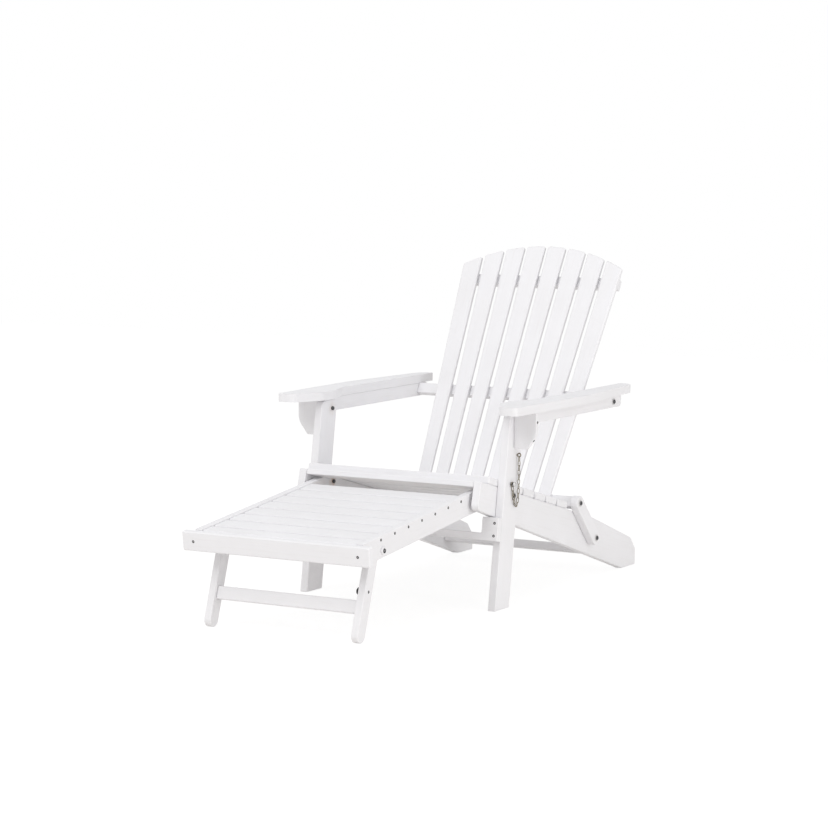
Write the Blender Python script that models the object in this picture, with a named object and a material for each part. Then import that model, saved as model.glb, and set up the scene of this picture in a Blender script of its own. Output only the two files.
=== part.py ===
"""Folding slatted deck chair with a pull-out footrest, in painted wood.

The chair faces -Y and stands on Z = 0. Side views are drawn in (y, z), with y = 0 at the
front edge of the front legs' feet; one empty then centres the chair over the origin.
Each moving group hangs on an empty that lies on its joint's axis.
"""

import math

import bmesh
import bpy
from mathutils import Matrix, Vector
from mathutils.geometry import interpolate_bezier

# Stock and fits, in metres
BOARD = 0.022            # thickness of the frame boards
GAP = 0.0004             # clearance between touching pieces
EDGE = 0.0015            # broken edge along every board
BOLT_RADIUS = 0.004
BOLT_FIT = 0.0004        # radial clearance of a bolt in its hole
HEAD_RADIUS = 0.0095
HEAD_HEIGHT = 0.0045
NUT_RADIUS = 0.0070
NUT_HEIGHT = 0.0055
ROUND_STEPS = 16         # sides of a turned piece
SHANK_STEPS = 8          # and of a thin one
ARC_STEP = math.radians(15.0)
BEVEL_LIMIT = math.radians(40.0)
MERGE = 0.00001          # for points of a turned profile that lie on its axis
SMALL_ROUND = 0.004

# Front legs and the board across them
LEG_SPREAD = 0.300       # middle of the chair to the legs' outer faces
LEG_WIDTH = 0.076
LEG_LEAN = math.radians(9.0)
PIVOT_INSET = 0.024      # from the legs' rear edge to both their pivots
SEAT_PIVOT_UP = 0.304    # along the leg, from the foot
ARM_PIVOT_UP = 0.502
LEG_FRONT_ROUND = 0.026
CROSS_HEIGHT = 0.062
CROSS_THICK = 0.020
CROSS_NOTCH = 0.042      # cut down between the stringers for the footrest
NOTCH_SIDE_ROOM = 0.005
NOTCH_ROUND = 0.003

# Stringers, the sloping sides of the seat
SEAT_SLOPE = math.radians(15.1)
STRINGER_NOSE_Y = -0.035
STRINGER_NOSE_Z = 0.3425
STRINGER_NOSE_DEPTH = 0.074
STRINGER_NOSE_ROUND = 0.016
STRINGER_UNDER_SLOPE = math.radians(17.7)
STRINGER_KNEE_Y = 0.603  # where the top edge turns down behind the seat
STRINGER_HEEL = (0.851, 0.0807)
STRINGER_REAR_Y = 0.880
STRINGER_REAR_HEIGHT = 0.0465
STRINGER_REAR_ROUND = 0.012
STRINGER_HEEL_ROUND = 0.020
STRINGER_KNEE_ROUND = 0.060

# Seat
SEAT_SLATS = 7
SEAT_SLAT_WIDTH = 0.058
SEAT_SLAT_GAP = 0.0093
SEAT_SLAT_THICK = 0.020
SEAT_SETBACK = 0.0404    # nose of the stringers to the first slat, along the slope
FRONT_RAIL_WIDTH = 0.055
FRONT_RAIL_THICK = 0.0145
STRETCHER_WIDTH = 0.048
STRETCHER_THICK = 0.022
STRETCHER_Y = 0.732
STRETCHER_UP = 0.0235    # above the stringers' lower edge

# Back
RECLINE = math.radians(30.0)
BACK_PIVOT = (0.640, 0.492)     # back to arm rails
BACK_HINGE_DROP = 0.308         # down the back, from that pivot to the swinging links
LINK_PIVOT = (0.586, 0.116)     # links to stringers
LINK_WIDTH = 0.040
BATTEN_THICK = 0.020
BATTEN_WIDTH = 0.040
LOWER_BATTEN_WIDTH = 0.031
UPPER_BATTEN_UP = 0.355
UPPER_BATTEN_INSET = 0.004      # from the outer slats' edges
BACK_SLATS = 8
BACK_SLAT_THICK = 0.014
BACK_SLAT_PITCH = 0.0597        # at the arm pivot
BACK_SLAT_FAN = 0.0140          # growth of the pitch up the back
BACK_SLAT_WIDTH = 0.0445        # at the arm pivot
BACK_SLAT_TAPER = 0.0257        # growth of the width up the back
BACK_TOP_UP = 0.464             # crown of the middle slats above the arm pivot
BACK_BOTTOM_DOWN = 0.325
CROWN_RADIUS = 0.546
CROWN_STEPS = 4
HINGE_BOLT_REACH = 0.045        # into the end of the lower batten

# Arms, their rails and brackets
RAIL_HEIGHT = 0.037
RAIL_DROP = 0.0117       # of the rails' lower edge below the leg pivot
RAIL_NOSE = 0.0155       # ahead of the leg pivot
RAIL_TAIL = 0.049        # behind the back pivot
RAIL_END_ROUND = 0.012
ARM_THICK = 0.0225
ARM_FRONT_Y = -0.011
ARM_REAR_Y = 0.727
ARM_OUTER_FRONT = 0.365
ARM_OUTER = 0.378        # at the broadest place, half-way back
ARM_OUTER_Y = 0.370
ARM_REAR_OUTER = 0.351
ARM_INNER_FRONT = 0.316  # the front's inner corner is cut back to the palm
ARM_PALM_INNER = 0.270
ARM_PALM_Y = 0.074
ARM_PALM_END_Y = 0.130   # the palm runs back to here
ARM_NECK_Y = 0.215       # and has narrowed to the rail here
ARM_FRONT_ROUND = 0.014
ARM_INNER_ROUND = 0.030
ARM_PALM_ROUND = 0.040
ARM_OUTER_ROUND = 0.800
ARM_NECK_ROUND = 0.060
ARM_TAIL_ROUND = 0.042
ARM_TAIL_INNER_ROUND = 0.016
BRACKET_FRONT_Y = 0.098
BRACKET_THICK = 0.014
BRACKET_REACH = 0.066
BRACKET_HEIGHT = 0.097
BRACKET_FOOT = 0.038
BRACKET_WAIST = 0.060
BRACKET_ROUND = 0.045
BRACKET_ARC_STEP = math.radians(8.0)

# Footrest
FOOT_TILT = math.radians(6.6)   # rises to the rear when drawn out
ROD_Y = 0.000
ROD_BELOW_TOP = 0.046           # rod under the stringers' top edge
ROD_RADIUS = 0.005
ROD_INTO_STRINGER = 0.0055
FOOT_RAIL_OUTER = 0.247
FOOT_RAIL_THICK = 0.020
FOOT_RAIL_HEIGHT = 0.056
FOOT_RAIL_TAIL = 0.015          # behind the rod
FOOT_RAIL_ROUND = 0.012
FOOT_REACH = 0.570              # rod to the back of the fascia
FASCIA_HALF = 0.2745
FASCIA_HEIGHT = 0.050
FASCIA_THICK = 0.020
FOOT_SLATS = 8
FOOT_SLAT_WIDTH = 0.057
FOOT_SLAT_THICK = 0.016
FOOT_SLAT_DROP = 0.002          # of the slats' tops below the rails' tops
FOOT_SLAT_FIRST = 0.0855        # rod to the middle of the rearmost slat
FRONT_SLAT_WIDTH = 0.042        # the last slat, behind the fascia, is narrower
FRONT_SLAT_ROOM = 0.002
FOOT_LEG_REACH = 0.483          # rod to the leg pivot
FOOT_LEG_DROP = 0.010
FOOT_LEG_SPLAY = math.radians(18.0)
FOOT_LEG_WIDTH = 0.036
FOOT_LEG_THICK = 0.020
FOOT_BAR_HEIGHT = 0.033
FOOT_BAR_THICK = 0.020
FOOT_BAR_UP = 0.084             # middle of the bar above the floor
CATCH_UP = 0.122                # catch bolt above the floor
CATCH_LENGTH = 0.007            # shank that shows on the leg's inner face

# Lock pin, eye and chain on the right leg
PIN_UP = 0.334                  # along the leg, from the foot
PIN_ACROSS = 0.033              # from the leg's front edge
PIN_RADIUS = 0.004
PIN_HEAD_RADIUS = 0.008
PIN_HEAD = 0.005
PIN_CHAMFER = 0.0015
PIN_STANDOFF = 0.0085           # leg face to the back of the pin's head
EYE_UP = 0.411
EYE_ACROSS = 0.052
EYE_RADIUS = 0.0045
EYE_WIRE = 0.0012
EYE_STANDOFF = 0.0025
EYE_SHANK = 0.014
CHAIN_WIRE = 0.0009
CHAIN_INNER_WIDTH = 0.0034
CHAIN_BITE = 0.0008             # how far neighbouring links sink into each other
CHAIN_LINKS = 30                # an even count, so that the last link takes the ring
CHAIN_LOW_Z = 0.257             # lowest point of the hanging loop
CHAIN_SLANT = 0.35              # how far the rising strand leans toward the eye
CHAIN_RING = 0.0062             # ring that hangs on the pin
ROUTE_STEPS = 400
RING_STEPS = 16
EYE_WIRE_SIDES = 6
CHAIN_WIRE_SIDES = 5

# Paint and metals
WHITE_PAINT = ((0.80, 0.80, 0.79), 0.50, 0.0)
BARE_WOOD = ((0.42, 0.30, 0.19), 0.70, 0.0)
DULL_ZINC = ((0.28, 0.28, 0.29), 0.42, 0.9)
BRASSED_STEEL = ((0.46, 0.40, 0.29), 0.38, 0.9)

# Placements: an outline drawn in a board's own XY becomes a front view or a plan
FRONT_VIEW = (math.pi / 2, 0.0, 0.0)
PLAN = (0.0, 0.0, 0.0)
TURNED_OUTWARD = {1: (0.0, math.pi / 2, 0.0), -1: (0.0, -math.pi / 2, 0.0)}
SIDES = (("left", -1), ("right", 1))


def along(angle, distance):
    """The (y, z) step of this length at an angle above +Y."""
    return Vector((math.cos(angle), math.sin(angle))) * distance


def side_view(tilt=0.0):
    """The turn that makes an outline a side view, in (y, z), raised at the rear by a tilt."""
    return (math.pi / 2, -tilt, math.pi / 2)


def clear_scene():
    for obj in list(bpy.data.objects):
        bpy.data.objects.remove(obj, do_unlink=True)


def finish_of(name, finish):
    """A material of the piece's own, from a (colour, roughness, metallic) finish."""
    colour, roughness, metallic = finish
    material = bpy.data.materials.new(name)
    material.use_nodes = True
    shader = material.node_tree.nodes["Principled BSDF"]
    shader.inputs["Base Color"].default_value = (*colour, 1.0)
    shader.inputs["Roughness"].default_value = roughness
    shader.inputs["Metallic"].default_value = metallic
    return material


def pivot(name, point, parent=None):
    """An empty on a joint's axis, at a (y, z) point of the side view."""
    empty = bpy.data.objects.new(name, None)
    bpy.context.collection.objects.link(empty)
    empty["point"] = tuple(point)
    if parent is not None:
        empty.parent = parent
        offset = Vector(point) - Vector(parent["point"])
        empty.location = (0.0, offset.x, offset.y)
    return empty


def put(name, mesh, finish, on, place, turn=PLAN):
    """The piece as an object on its pivot, at a place (x, y, z) of the whole chair."""
    obj = bpy.data.objects.new(name, mesh)
    bpy.context.collection.objects.link(obj)
    obj.data.materials.append(finish_of(name, finish))
    obj.parent = on
    base_y, base_z = on["point"]
    obj.location = (place[0], place[1] - base_y, place[2] - base_z)
    obj.rotation_euler = turn
    return obj


def break_edges(obj, width=EDGE):
    bevel = obj.modifiers.new("broken edges", "BEVEL")
    bevel.width = width
    bevel.segments = 1
    bevel.limit_method = "ANGLE"
    bevel.angle_limit = BEVEL_LIMIT


def rounded(corners, step=ARC_STEP):
    """An outline through corners (a, b) or (a, b, radius), with each radius as an arc."""
    points = []
    for i, corner in enumerate(corners):
        here = Vector(corner[:2])
        radius = corner[2] if len(corner) > 2 else 0.0
        back = (Vector(corners[i - 1][:2]) - here).normalized()
        ahead = (Vector(corners[(i + 1) % len(corners)][:2]) - here).normalized()
        if radius == 0.0:
            points.append(here)
            continue
        half = back.angle(ahead) / 2
        middle = here + (back + ahead).normalized() * (radius / math.sin(half))
        start = here + back * (radius / math.tan(half)) - middle
        turn = -start.angle_signed(here + ahead * (radius / math.tan(half)) - middle)
        count = max(1, math.ceil(abs(turn) / step))
        for k in range(count + 1):
            points.append(middle + Matrix.Rotation(turn * k / count, 2) @ start)
    return points


def stadium(a, b, radius, count=9):
    """A bar with round ends about the points a and b."""
    run = math.atan2(b[1] - a[1], b[0] - a[0])
    points = []
    for middle, facing in ((b, run), (a, run + math.pi)):
        for k in range(count):
            points.append(Vector(middle) + along(facing - math.pi / 2 + math.pi * k / (count - 1), radius))
    return points


def mesh_of(name, shape):
    """The mesh of a finished bmesh, with its faces turned outward."""
    bmesh.ops.recalc_face_normals(shape, faces=shape.faces)
    mesh = bpy.data.meshes.new(name)
    shape.to_mesh(mesh)
    shape.free()
    return mesh


def extruded(name, outline, thickness):
    """A closed board: the outline in XY, raised by its thickness along Z."""
    area = sum(p.x * q.y - q.x * p.y for p, q in zip(outline, outline[1:] + outline[:1]))
    ordered = outline if area > 0 else outline[::-1]
    shape = bmesh.new()
    face = shape.faces.new([shape.verts.new((p.x, p.y, 0.0)) for p in ordered])
    raised = bmesh.ops.extrude_face_region(shape, geom=[face])["geom"]
    lifted = [item for item in raised if isinstance(item, bmesh.types.BMVert)]
    bmesh.ops.translate(shape, verts=lifted, vec=(0.0, 0.0, thickness))
    return mesh_of(name, shape)


def box_outline(width, height):
    """A rectangle about the origin."""
    w, h = width / 2, height / 2
    return [Vector(p) for p in ((-w, -h), (w, -h), (w, h), (-w, h))]


def dowel(radius, length):
    """The profile of a plain round bar, from its top down."""
    return [(0.0, length), (radius, length), (radius, 0.0), (0.0, 0.0)]


def turned(name, profile):
    """A turned piece about Z. The profile is (radius, height), from the top down."""
    mesh = bpy.data.meshes.new(name)
    edges = [(i, i + 1) for i in range(len(profile) - 1)]
    mesh.from_pydata([(r, 0.0, h) for r, h in profile], edges, [])
    return mesh


def spin(obj, steps=ROUND_STEPS):
    screw = obj.modifiers.new("turning", "SCREW")
    screw.steps = steps
    screw.render_steps = steps
    screw.use_merge_vertices = True
    screw.merge_threshold = MERGE
    screw.use_smooth_shade = False


def helper(obj):
    """Marks a shape that only cuts, or joins, another piece."""
    obj.hide_render = True
    obj.display_type = "WIRE"


def cut(obj, cutter):
    helper(cutter)
    hole = obj.modifiers.new("cut " + cutter.name, "BOOLEAN")
    hole.operation = "DIFFERENCE"
    hole.solver = "EXACT"
    hole.object = cutter


def join(obj, other):
    helper(other)
    union = obj.modifiers.new("join " + other.name, "BOOLEAN")
    union.operation = "UNION"
    union.solver = "EXACT"
    union.object = other


def drill(obj, on, side, start, end, point, radius):
    """A hole across the chair, between two distances from its middle plane."""
    name = obj.name + " hole " + str(len(obj.modifiers))
    cutter = put(name, turned(name, dowel(radius, end - start)), BARE_WOOD, on,
                 (side * start, *point), TURNED_OUTWARD[side])
    spin(cutter)
    cut(obj, cutter)


def drill_through(obj, on, side, inner, outer, points, radius):
    """Holes right through a board that lies between two distances from the middle plane."""
    for point in points:
        drill(obj, on, side, inner - BOARD, outer + BOARD, point, radius)


def side_board(name, outline, on, side, inner, outer, place=(0.0, 0.0), tilt=0.0):
    """A painted board seen from the side, between two distances from the middle plane."""
    low = min(side * inner, side * outer)
    board = put(name, extruded(name, outline, outer - inner), WHITE_PAINT, on, (low, *place), side_view(tilt))
    break_edges(board)
    return board


def cross_piece(name, length, width, thickness, on, place, turn, edge=EDGE):
    """A painted strip across the chair, turned about X, with the middle of its underside at a place."""
    mesh = extruded(name, box_outline(length, width), thickness)
    strip = put(name, mesh, WHITE_PAINT, on, (0.0, *place), (turn, 0.0, 0.0))
    break_edges(strip, edge)
    return strip


def bolt_profile(grip, reach_nut):
    """A domed bolt from its inner end at zero to its head past the grip."""
    dome = [(HEAD_RADIUS * math.cos(a), grip + HEAD_HEIGHT * math.sin(a))
            for a in (math.pi * k / 8 for k in range(4, -1, -1))]
    profile = [(0.0, grip + HEAD_HEIGHT)] + dome[1:] + [(BOLT_RADIUS, grip)]
    if reach_nut:
        profile += [(BOLT_RADIUS, 0.0), (NUT_RADIUS, 0.0), (NUT_RADIUS, -NUT_HEIGHT), (0.0, -NUT_HEIGHT)]
    else:
        profile += [(BOLT_RADIUS, 0.0), (0.0, 0.0)]
    return profile


def bolt(name, on, side, start, end, point, with_nut=True):
    """A bolt whose head bears on a face at end, and whose nut bears on a face at start."""
    inner = start - GAP if with_nut else start
    obj = put(name, turned(name, bolt_profile(end + GAP - inner, with_nut)), DULL_ZINC, on,
              (side * inner, point[0], point[1]), TURNED_OUTWARD[side])
    spin(obj)
    return obj


# Layers across the chair, from the middle plane outward
LEG_INNER = LEG_SPREAD - BOARD
STRINGER_OUTER = LEG_INNER - GAP
STRINGER_INNER = STRINGER_OUTER - BOARD
RAIL_INNER = LEG_SPREAD + GAP
RAIL_OUTER = RAIL_INNER + BOARD
HOLE_RADIUS = BOLT_RADIUS + BOLT_FIT

# Points of the side view that several pieces share
LEG_UP = along(math.pi / 2 - LEG_LEAN, 1.0)
LEG_BACK = along(-LEG_LEAN, 1.0)
BACK_UP = along(math.pi / 2 - RECLINE, 1.0)
SLOPE_BACK = along(-SEAT_SLOPE, 1.0)
SLOPE_UP = along(math.pi / 2 - SEAT_SLOPE, 1.0)


def on_leg(up, across):
    """A point of the leg, up along it from the foot and back from its front edge."""
    return LEG_UP * up + LEG_BACK * across


SEAT_PIVOT = on_leg(SEAT_PIVOT_UP, LEG_WIDTH - PIVOT_INSET)
ARM_PIVOT = on_leg(ARM_PIVOT_UP, LEG_WIDTH - PIVOT_INSET)
HINGE_PIVOT = Vector(BACK_PIVOT) - BACK_UP * BACK_HINGE_DROP
NOSE_TOP = Vector((STRINGER_NOSE_Y, STRINGER_NOSE_Z))
NOSE_BOTTOM = NOSE_TOP - SLOPE_UP * STRINGER_NOSE_DEPTH
RAIL_BOTTOM_Z = ARM_PIVOT.y - RAIL_DROP
ARM_UNDER_Z = RAIL_BOTTOM_Z + RAIL_HEIGHT + GAP


def stringer_top(y):
    return STRINGER_NOSE_Z - (y - STRINGER_NOSE_Y) * math.tan(SEAT_SLOPE)


def stringer_bottom(y):
    return NOSE_BOTTOM.y - (y - NOSE_BOTTOM.x) * math.tan(STRINGER_UNDER_SLOPE)


ROD = Vector((ROD_Y, stringer_top(ROD_Y) - ROD_BELOW_TOP))
FASCIA_STOP = (ROD - NOSE_TOP).dot(SLOPE_BACK)
STOW_TRAVEL = FOOT_REACH - FASCIA_STOP - 4 * GAP
PANEL_FRONT = along(math.pi + FOOT_TILT, 1.0)
PANEL_UP = along(math.pi / 2 + FOOT_TILT, 1.0)


def on_panel(front, up):
    """A point of the footrest, ahead of its rod and above the line through it."""
    return ROD + PANEL_FRONT * front + PANEL_UP * up


FOOT_LEG_PIVOT = on_panel(FOOT_LEG_REACH, -FOOT_LEG_DROP)
FOOT_LEG_DOWN = along(-math.pi / 2 - FOOT_LEG_SPLAY, 1.0)
FASCIA_FRONT = on_panel(FOOT_REACH + FASCIA_THICK, FASCIA_HEIGHT / 2)
CENTRE_Y = (FASCIA_FRONT.x + STRINGER_REAR_Y) / 2


def make_pivots():
    """The chair's joints, as a tree of empties on their axes."""
    whole = pivot("deck_chair", (0.0, 0.0))
    whole.location = (0.0, -CENTRE_Y, 0.0)
    tree = {"seat": whole}
    tree["legs"] = pivot("legs_axis", SEAT_PIVOT, whole)
    tree["arms"] = pivot("arms_axis", ARM_PIVOT, tree["legs"])
    tree["links"] = pivot("links_axis", LINK_PIVOT, whole)
    tree["back"] = pivot("back_axis", HINGE_PIVOT, tree["links"])
    tree["pin"] = pivot("pin_axis", on_leg(PIN_UP, PIN_ACROSS), tree["legs"])
    tree["rod"] = pivot("rod_axis", ROD, whole)
    tree["footrest"] = pivot("footrest_axis", ROD, tree["rod"])
    tree["foot_legs"] = pivot("foot_legs_axis", FOOT_LEG_PIVOT, tree["footrest"])
    return tree


def make_stringers(tree):
    """The two sloping sides, with bolt holes and a blind groove for the footrest's rod."""
    toe_y = NOSE_BOTTOM.x + NOSE_BOTTOM.y / math.tan(STRINGER_UNDER_SLOPE)
    outline = rounded([
        (*NOSE_BOTTOM, STRINGER_NOSE_ROUND),
        (toe_y, 0.0),
        (STRINGER_REAR_Y, 0.0, SMALL_ROUND),
        (STRINGER_REAR_Y, STRINGER_REAR_HEIGHT, STRINGER_REAR_ROUND),
        (*STRINGER_HEEL, STRINGER_HEEL_ROUND),
        (STRINGER_KNEE_Y, stringer_top(STRINGER_KNEE_Y), STRINGER_KNEE_ROUND),
        (*NOSE_TOP, SMALL_ROUND),
    ])
    stowed = ROD + SLOPE_BACK * STOW_TRAVEL
    slot = stadium(ROD, stowed, ROD_RADIUS + BOLT_FIT)
    depth = ROD_INTO_STRINGER + GAP
    for word, side in SIDES:
        name = "stringer_" + word
        layer = STRINGER_INNER, STRINGER_OUTER
        board = side_board(name, outline, tree["seat"], side, *layer)
        drill_through(board, tree["seat"], side, *layer, (SEAT_PIVOT, LINK_PIVOT), HOLE_RADIUS)
        groove = name + " groove"
        open_face = STRINGER_INNER - depth
        start = min(side * open_face, side * (STRINGER_INNER + depth))
        cut(board, put(groove, extruded(groove, slot, 2 * depth), BARE_WOOD, tree["seat"],
                       (start, 0.0, 0.0), side_view()))


def make_seat(tree):
    """Slats across the stringers, the rail under the first one and the rear stretcher."""
    seat = tree["seat"]
    for i in range(SEAT_SLATS):
        run = SEAT_SETBACK + SEAT_SLAT_WIDTH / 2 + i * (SEAT_SLAT_WIDTH + SEAT_SLAT_GAP)
        place = NOSE_TOP + SLOPE_BACK * run + SLOPE_UP * GAP
        cross_piece("seat_slat_" + str(i + 1), 2 * STRINGER_OUTER, SEAT_SLAT_WIDTH, SEAT_SLAT_THICK,
                    seat, place, -SEAT_SLOPE, 2 * EDGE)
    between = 2 * (STRINGER_INNER - GAP)
    place = NOSE_TOP + SLOPE_BACK * (FRONT_RAIL_WIDTH / 2 + EDGE) - SLOPE_UP * FRONT_RAIL_THICK
    cross_piece("front_rail", between, FRONT_RAIL_WIDTH, FRONT_RAIL_THICK, seat, place, -SEAT_SLOPE)
    place = Vector((STRETCHER_Y, stringer_bottom(STRETCHER_Y) + STRETCHER_UP))
    cross_piece("rear_stretcher", between, STRETCHER_WIDTH, STRETCHER_THICK, seat, place, -SEAT_SLOPE)


def make_front_legs(tree):
    """The leaning legs, the notched board across them and the arm brackets on their outer faces."""
    lean = math.tan(LEG_LEAN)
    foot = LEG_WIDTH / math.cos(LEG_LEAN)
    top = ARM_PIVOT.y + PIVOT_INSET
    outline = rounded([
        (0.0, 0.0),
        (foot, 0.0),
        (foot + top * lean, top, PIVOT_INSET - GAP),
        (top * lean, top, LEG_FRONT_ROUND),
    ])
    legs = tree["legs"]
    layer = LEG_INNER, LEG_SPREAD
    for word, side in SIDES:
        leg = side_board("front_leg_" + word, outline, legs, side, *layer)
        drill_through(leg, legs, side, *layer, (SEAT_PIVOT, ARM_PIVOT), HOLE_RADIUS)
        if side == 1:
            drill_through(leg, legs, side, *layer, (on_leg(PIN_UP, PIN_ACROSS),), PIN_RADIUS + BOLT_FIT)
            bottom = LEG_SPREAD - EYE_SHANK - GAP
            eye = on_leg(EYE_UP, EYE_ACROSS)
            drill(leg, legs, side, bottom, LEG_SPREAD + BOARD, eye, EYE_WIRE + BOLT_FIT)
        bolt("leg_bolt_" + word, legs, side, STRINGER_INNER, LEG_SPREAD, SEAT_PIVOT)
        make_bracket(tree, word, side)
    make_cross_board(tree)


def make_cross_board(tree):
    """It stops the legs under the stringers, and is cut down in the middle for the footrest."""
    reach = NOSE_BOTTOM.y + NOSE_BOTTOM.x * math.tan(STRINGER_UNDER_SLOPE) - 2 * GAP
    top = reach / (LEG_UP.y + LEG_UP.x * math.tan(STRINGER_UNDER_SLOPE))
    gate = FOOT_RAIL_OUTER + NOTCH_SIDE_ROOM
    outline = rounded([
        (-LEG_SPREAD, -CROSS_HEIGHT),
        (LEG_SPREAD, -CROSS_HEIGHT),
        (LEG_SPREAD, 0.0),
        (gate, 0.0),
        (gate, -CROSS_NOTCH, NOTCH_ROUND),
        (-gate, -CROSS_NOTCH, NOTCH_ROUND),
        (-gate, 0.0),
        (-LEG_SPREAD, 0.0),
    ])
    spot = on_leg(top, -GAP)
    board = put("cross_board", extruded("cross_board", outline, CROSS_THICK), WHITE_PAINT, tree["legs"],
                (0.0, *spot), (math.pi / 2 - LEG_LEAN, 0.0, 0.0))
    break_edges(board)


def make_bracket(tree, word, side):
    """A curved board that carries the arm's overhang from the leg's outer face."""
    inner = LEG_SPREAD + GAP
    top = ARM_UNDER_Z - GAP
    foot = top - BRACKET_HEIGHT
    outline = rounded([
        (side * inner, foot),
        (side * (inner + BRACKET_FOOT), foot, SMALL_ROUND),
        (side * (inner + BRACKET_REACH), foot + BRACKET_HEIGHT - BRACKET_WAIST, BRACKET_ROUND),
        (side * (inner + BRACKET_REACH), top),
        (side * inner, top),
    ], BRACKET_ARC_STEP)
    name = "arm_bracket_" + word
    bracket = put(name, extruded(name, outline, BRACKET_THICK), WHITE_PAINT, tree["legs"],
                  (0.0, BRACKET_FRONT_Y + BRACKET_THICK, 0.0), FRONT_VIEW)
    break_edges(bracket)


def make_arms(tree):
    """Flat arms with a broad front, each on the rail that ties the leg to the back."""
    tail_y = BACK_PIVOT[0] + RAIL_TAIL
    nose_y = ARM_PIVOT.x - RAIL_NOSE
    rail_top = RAIL_BOTTOM_Z + RAIL_HEIGHT
    rail_outline = rounded([
        (nose_y, RAIL_BOTTOM_Z, RAIL_END_ROUND),
        (tail_y, RAIL_BOTTOM_Z, RAIL_END_ROUND),
        (tail_y, rail_top, RAIL_END_ROUND),
        (nose_y, rail_top),
    ])
    layer = RAIL_INNER, RAIL_OUTER
    for word, side in SIDES:
        rail = side_board("arm_rail_" + word, rail_outline, tree["arms"], side, *layer)
        drill_through(rail, tree["arms"], side, *layer, (ARM_PIVOT, BACK_PIVOT), HOLE_RADIUS)
        plan = rounded([
            (side * ARM_PALM_INNER, ARM_PALM_Y, ARM_PALM_ROUND),
            (side * ARM_INNER_FRONT, ARM_FRONT_Y, ARM_INNER_ROUND),
            (side * ARM_OUTER_FRONT, ARM_FRONT_Y, ARM_FRONT_ROUND),
            (side * ARM_OUTER, ARM_OUTER_Y, ARM_OUTER_ROUND),
            (side * ARM_REAR_OUTER, ARM_REAR_Y, ARM_TAIL_ROUND),
            (side * RAIL_INNER, ARM_REAR_Y, ARM_TAIL_INNER_ROUND),
            (side * RAIL_INNER, ARM_NECK_Y, ARM_NECK_ROUND),
            (side * ARM_PALM_INNER, ARM_PALM_END_Y, ARM_PALM_ROUND),
        ])
        name = "arm_" + word
        arm = put(name, extruded(name, plan, ARM_THICK), WHITE_PAINT, tree["arms"], (0.0, 0.0, ARM_UNDER_Z))
        break_edges(arm, 2 * EDGE)
        bolt("arm_bolt_" + word, tree["arms"], side, LEG_INNER, RAIL_OUTER, ARM_PIVOT)
        bolt("back_bolt_" + word, tree["arms"], side, RAIL_INNER, RAIL_OUTER, BACK_PIVOT, with_nut=False)


def make_links(tree):
    """Short links that carry the foot of the back and swing rearward as the chair folds."""
    outline = stadium(LINK_PIVOT, HINGE_PIVOT, LINK_WIDTH / 2)
    layer = LEG_INNER, LEG_SPREAD
    for word, side in SIDES:
        link = side_board("back_link_" + word, outline, tree["links"], side, *layer)
        drill_through(link, tree["links"], side, *layer, (LINK_PIVOT, HINGE_PIVOT), HOLE_RADIUS)
        bolt("link_bolt_" + word, tree["links"], side, STRINGER_INNER, LEG_SPREAD, LINK_PIVOT)


def back_slat_pitch(up):
    return BACK_SLAT_PITCH + BACK_SLAT_FAN * up


def back_slat_width(up):
    return BACK_SLAT_WIDTH + BACK_SLAT_TAPER * up


def crown(x):
    """Height of the crowned top at a distance from the middle."""
    return BACK_TOP_UP - CROWN_RADIUS + math.sqrt(CROWN_RADIUS ** 2 - x ** 2)


def back_slat_outline(i):
    """One fanned slat, in (x, up the back), with its top on the crown."""
    place = i - (BACK_SLATS - 1) / 2

    def edge(side, up):
        return place * back_slat_pitch(up) + side * back_slat_width(up) / 2

    low = -BACK_BOTTOM_DOWN
    shoulder = crown(edge(1, BACK_TOP_UP)), crown(edge(-1, BACK_TOP_UP))
    right, left = edge(1, shoulder[0]), edge(-1, shoulder[1])
    arc = [right + (left - right) * k / CROWN_STEPS for k in range(CROWN_STEPS + 1)]
    return [Vector((edge(-1, low), low)), Vector((edge(1, low), low))] + [Vector((x, crown(x))) for x in arc]


def make_back(tree):
    """Eight fanned slats on three battens, hinged to the links at the lowest one."""
    turn = math.pi / 2 - RECLINE
    forward = along(math.pi - RECLINE, 1.0)
    face = Vector(BACK_PIVOT) + forward * (BATTEN_THICK / 2 + GAP)
    for i in range(BACK_SLATS):
        name = "back_slat_" + str(i + 1)
        slat = put(name, extruded(name, back_slat_outline(i), BACK_SLAT_THICK), WHITE_PAINT, tree["back"],
                   (0.0, *face), (turn, 0.0, 0.0))
        break_edges(slat, 2 * EDGE)
    outer = (BACK_SLATS - 1) / 2 * back_slat_pitch(UPPER_BATTEN_UP) + back_slat_width(UPPER_BATTEN_UP) / 2
    battens = (
        ("upper_batten", UPPER_BATTEN_UP, outer - UPPER_BATTEN_INSET, BATTEN_WIDTH),
        ("middle_batten", 0.0, LEG_SPREAD, BATTEN_WIDTH),
        ("lower_batten", -BACK_HINGE_DROP, LEG_INNER - GAP, LOWER_BATTEN_WIDTH),
    )
    for name, up, half, width in battens:
        place = Vector(BACK_PIVOT) + BACK_UP * up - forward * (BATTEN_THICK / 2)
        batten = cross_piece(name, 2 * half, width, BATTEN_THICK, tree["back"], place, turn)
        if name == "lower_batten":
            for word, side in SIDES:
                start = half - HINGE_BOLT_REACH
                drill(batten, tree["back"], side, start - GAP, LEG_SPREAD, HINGE_PIVOT, HOLE_RADIUS)
                bolt("hinge_bolt_" + word, tree["back"], side, start, LEG_SPREAD, HINGE_PIVOT, with_nut=False)


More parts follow.
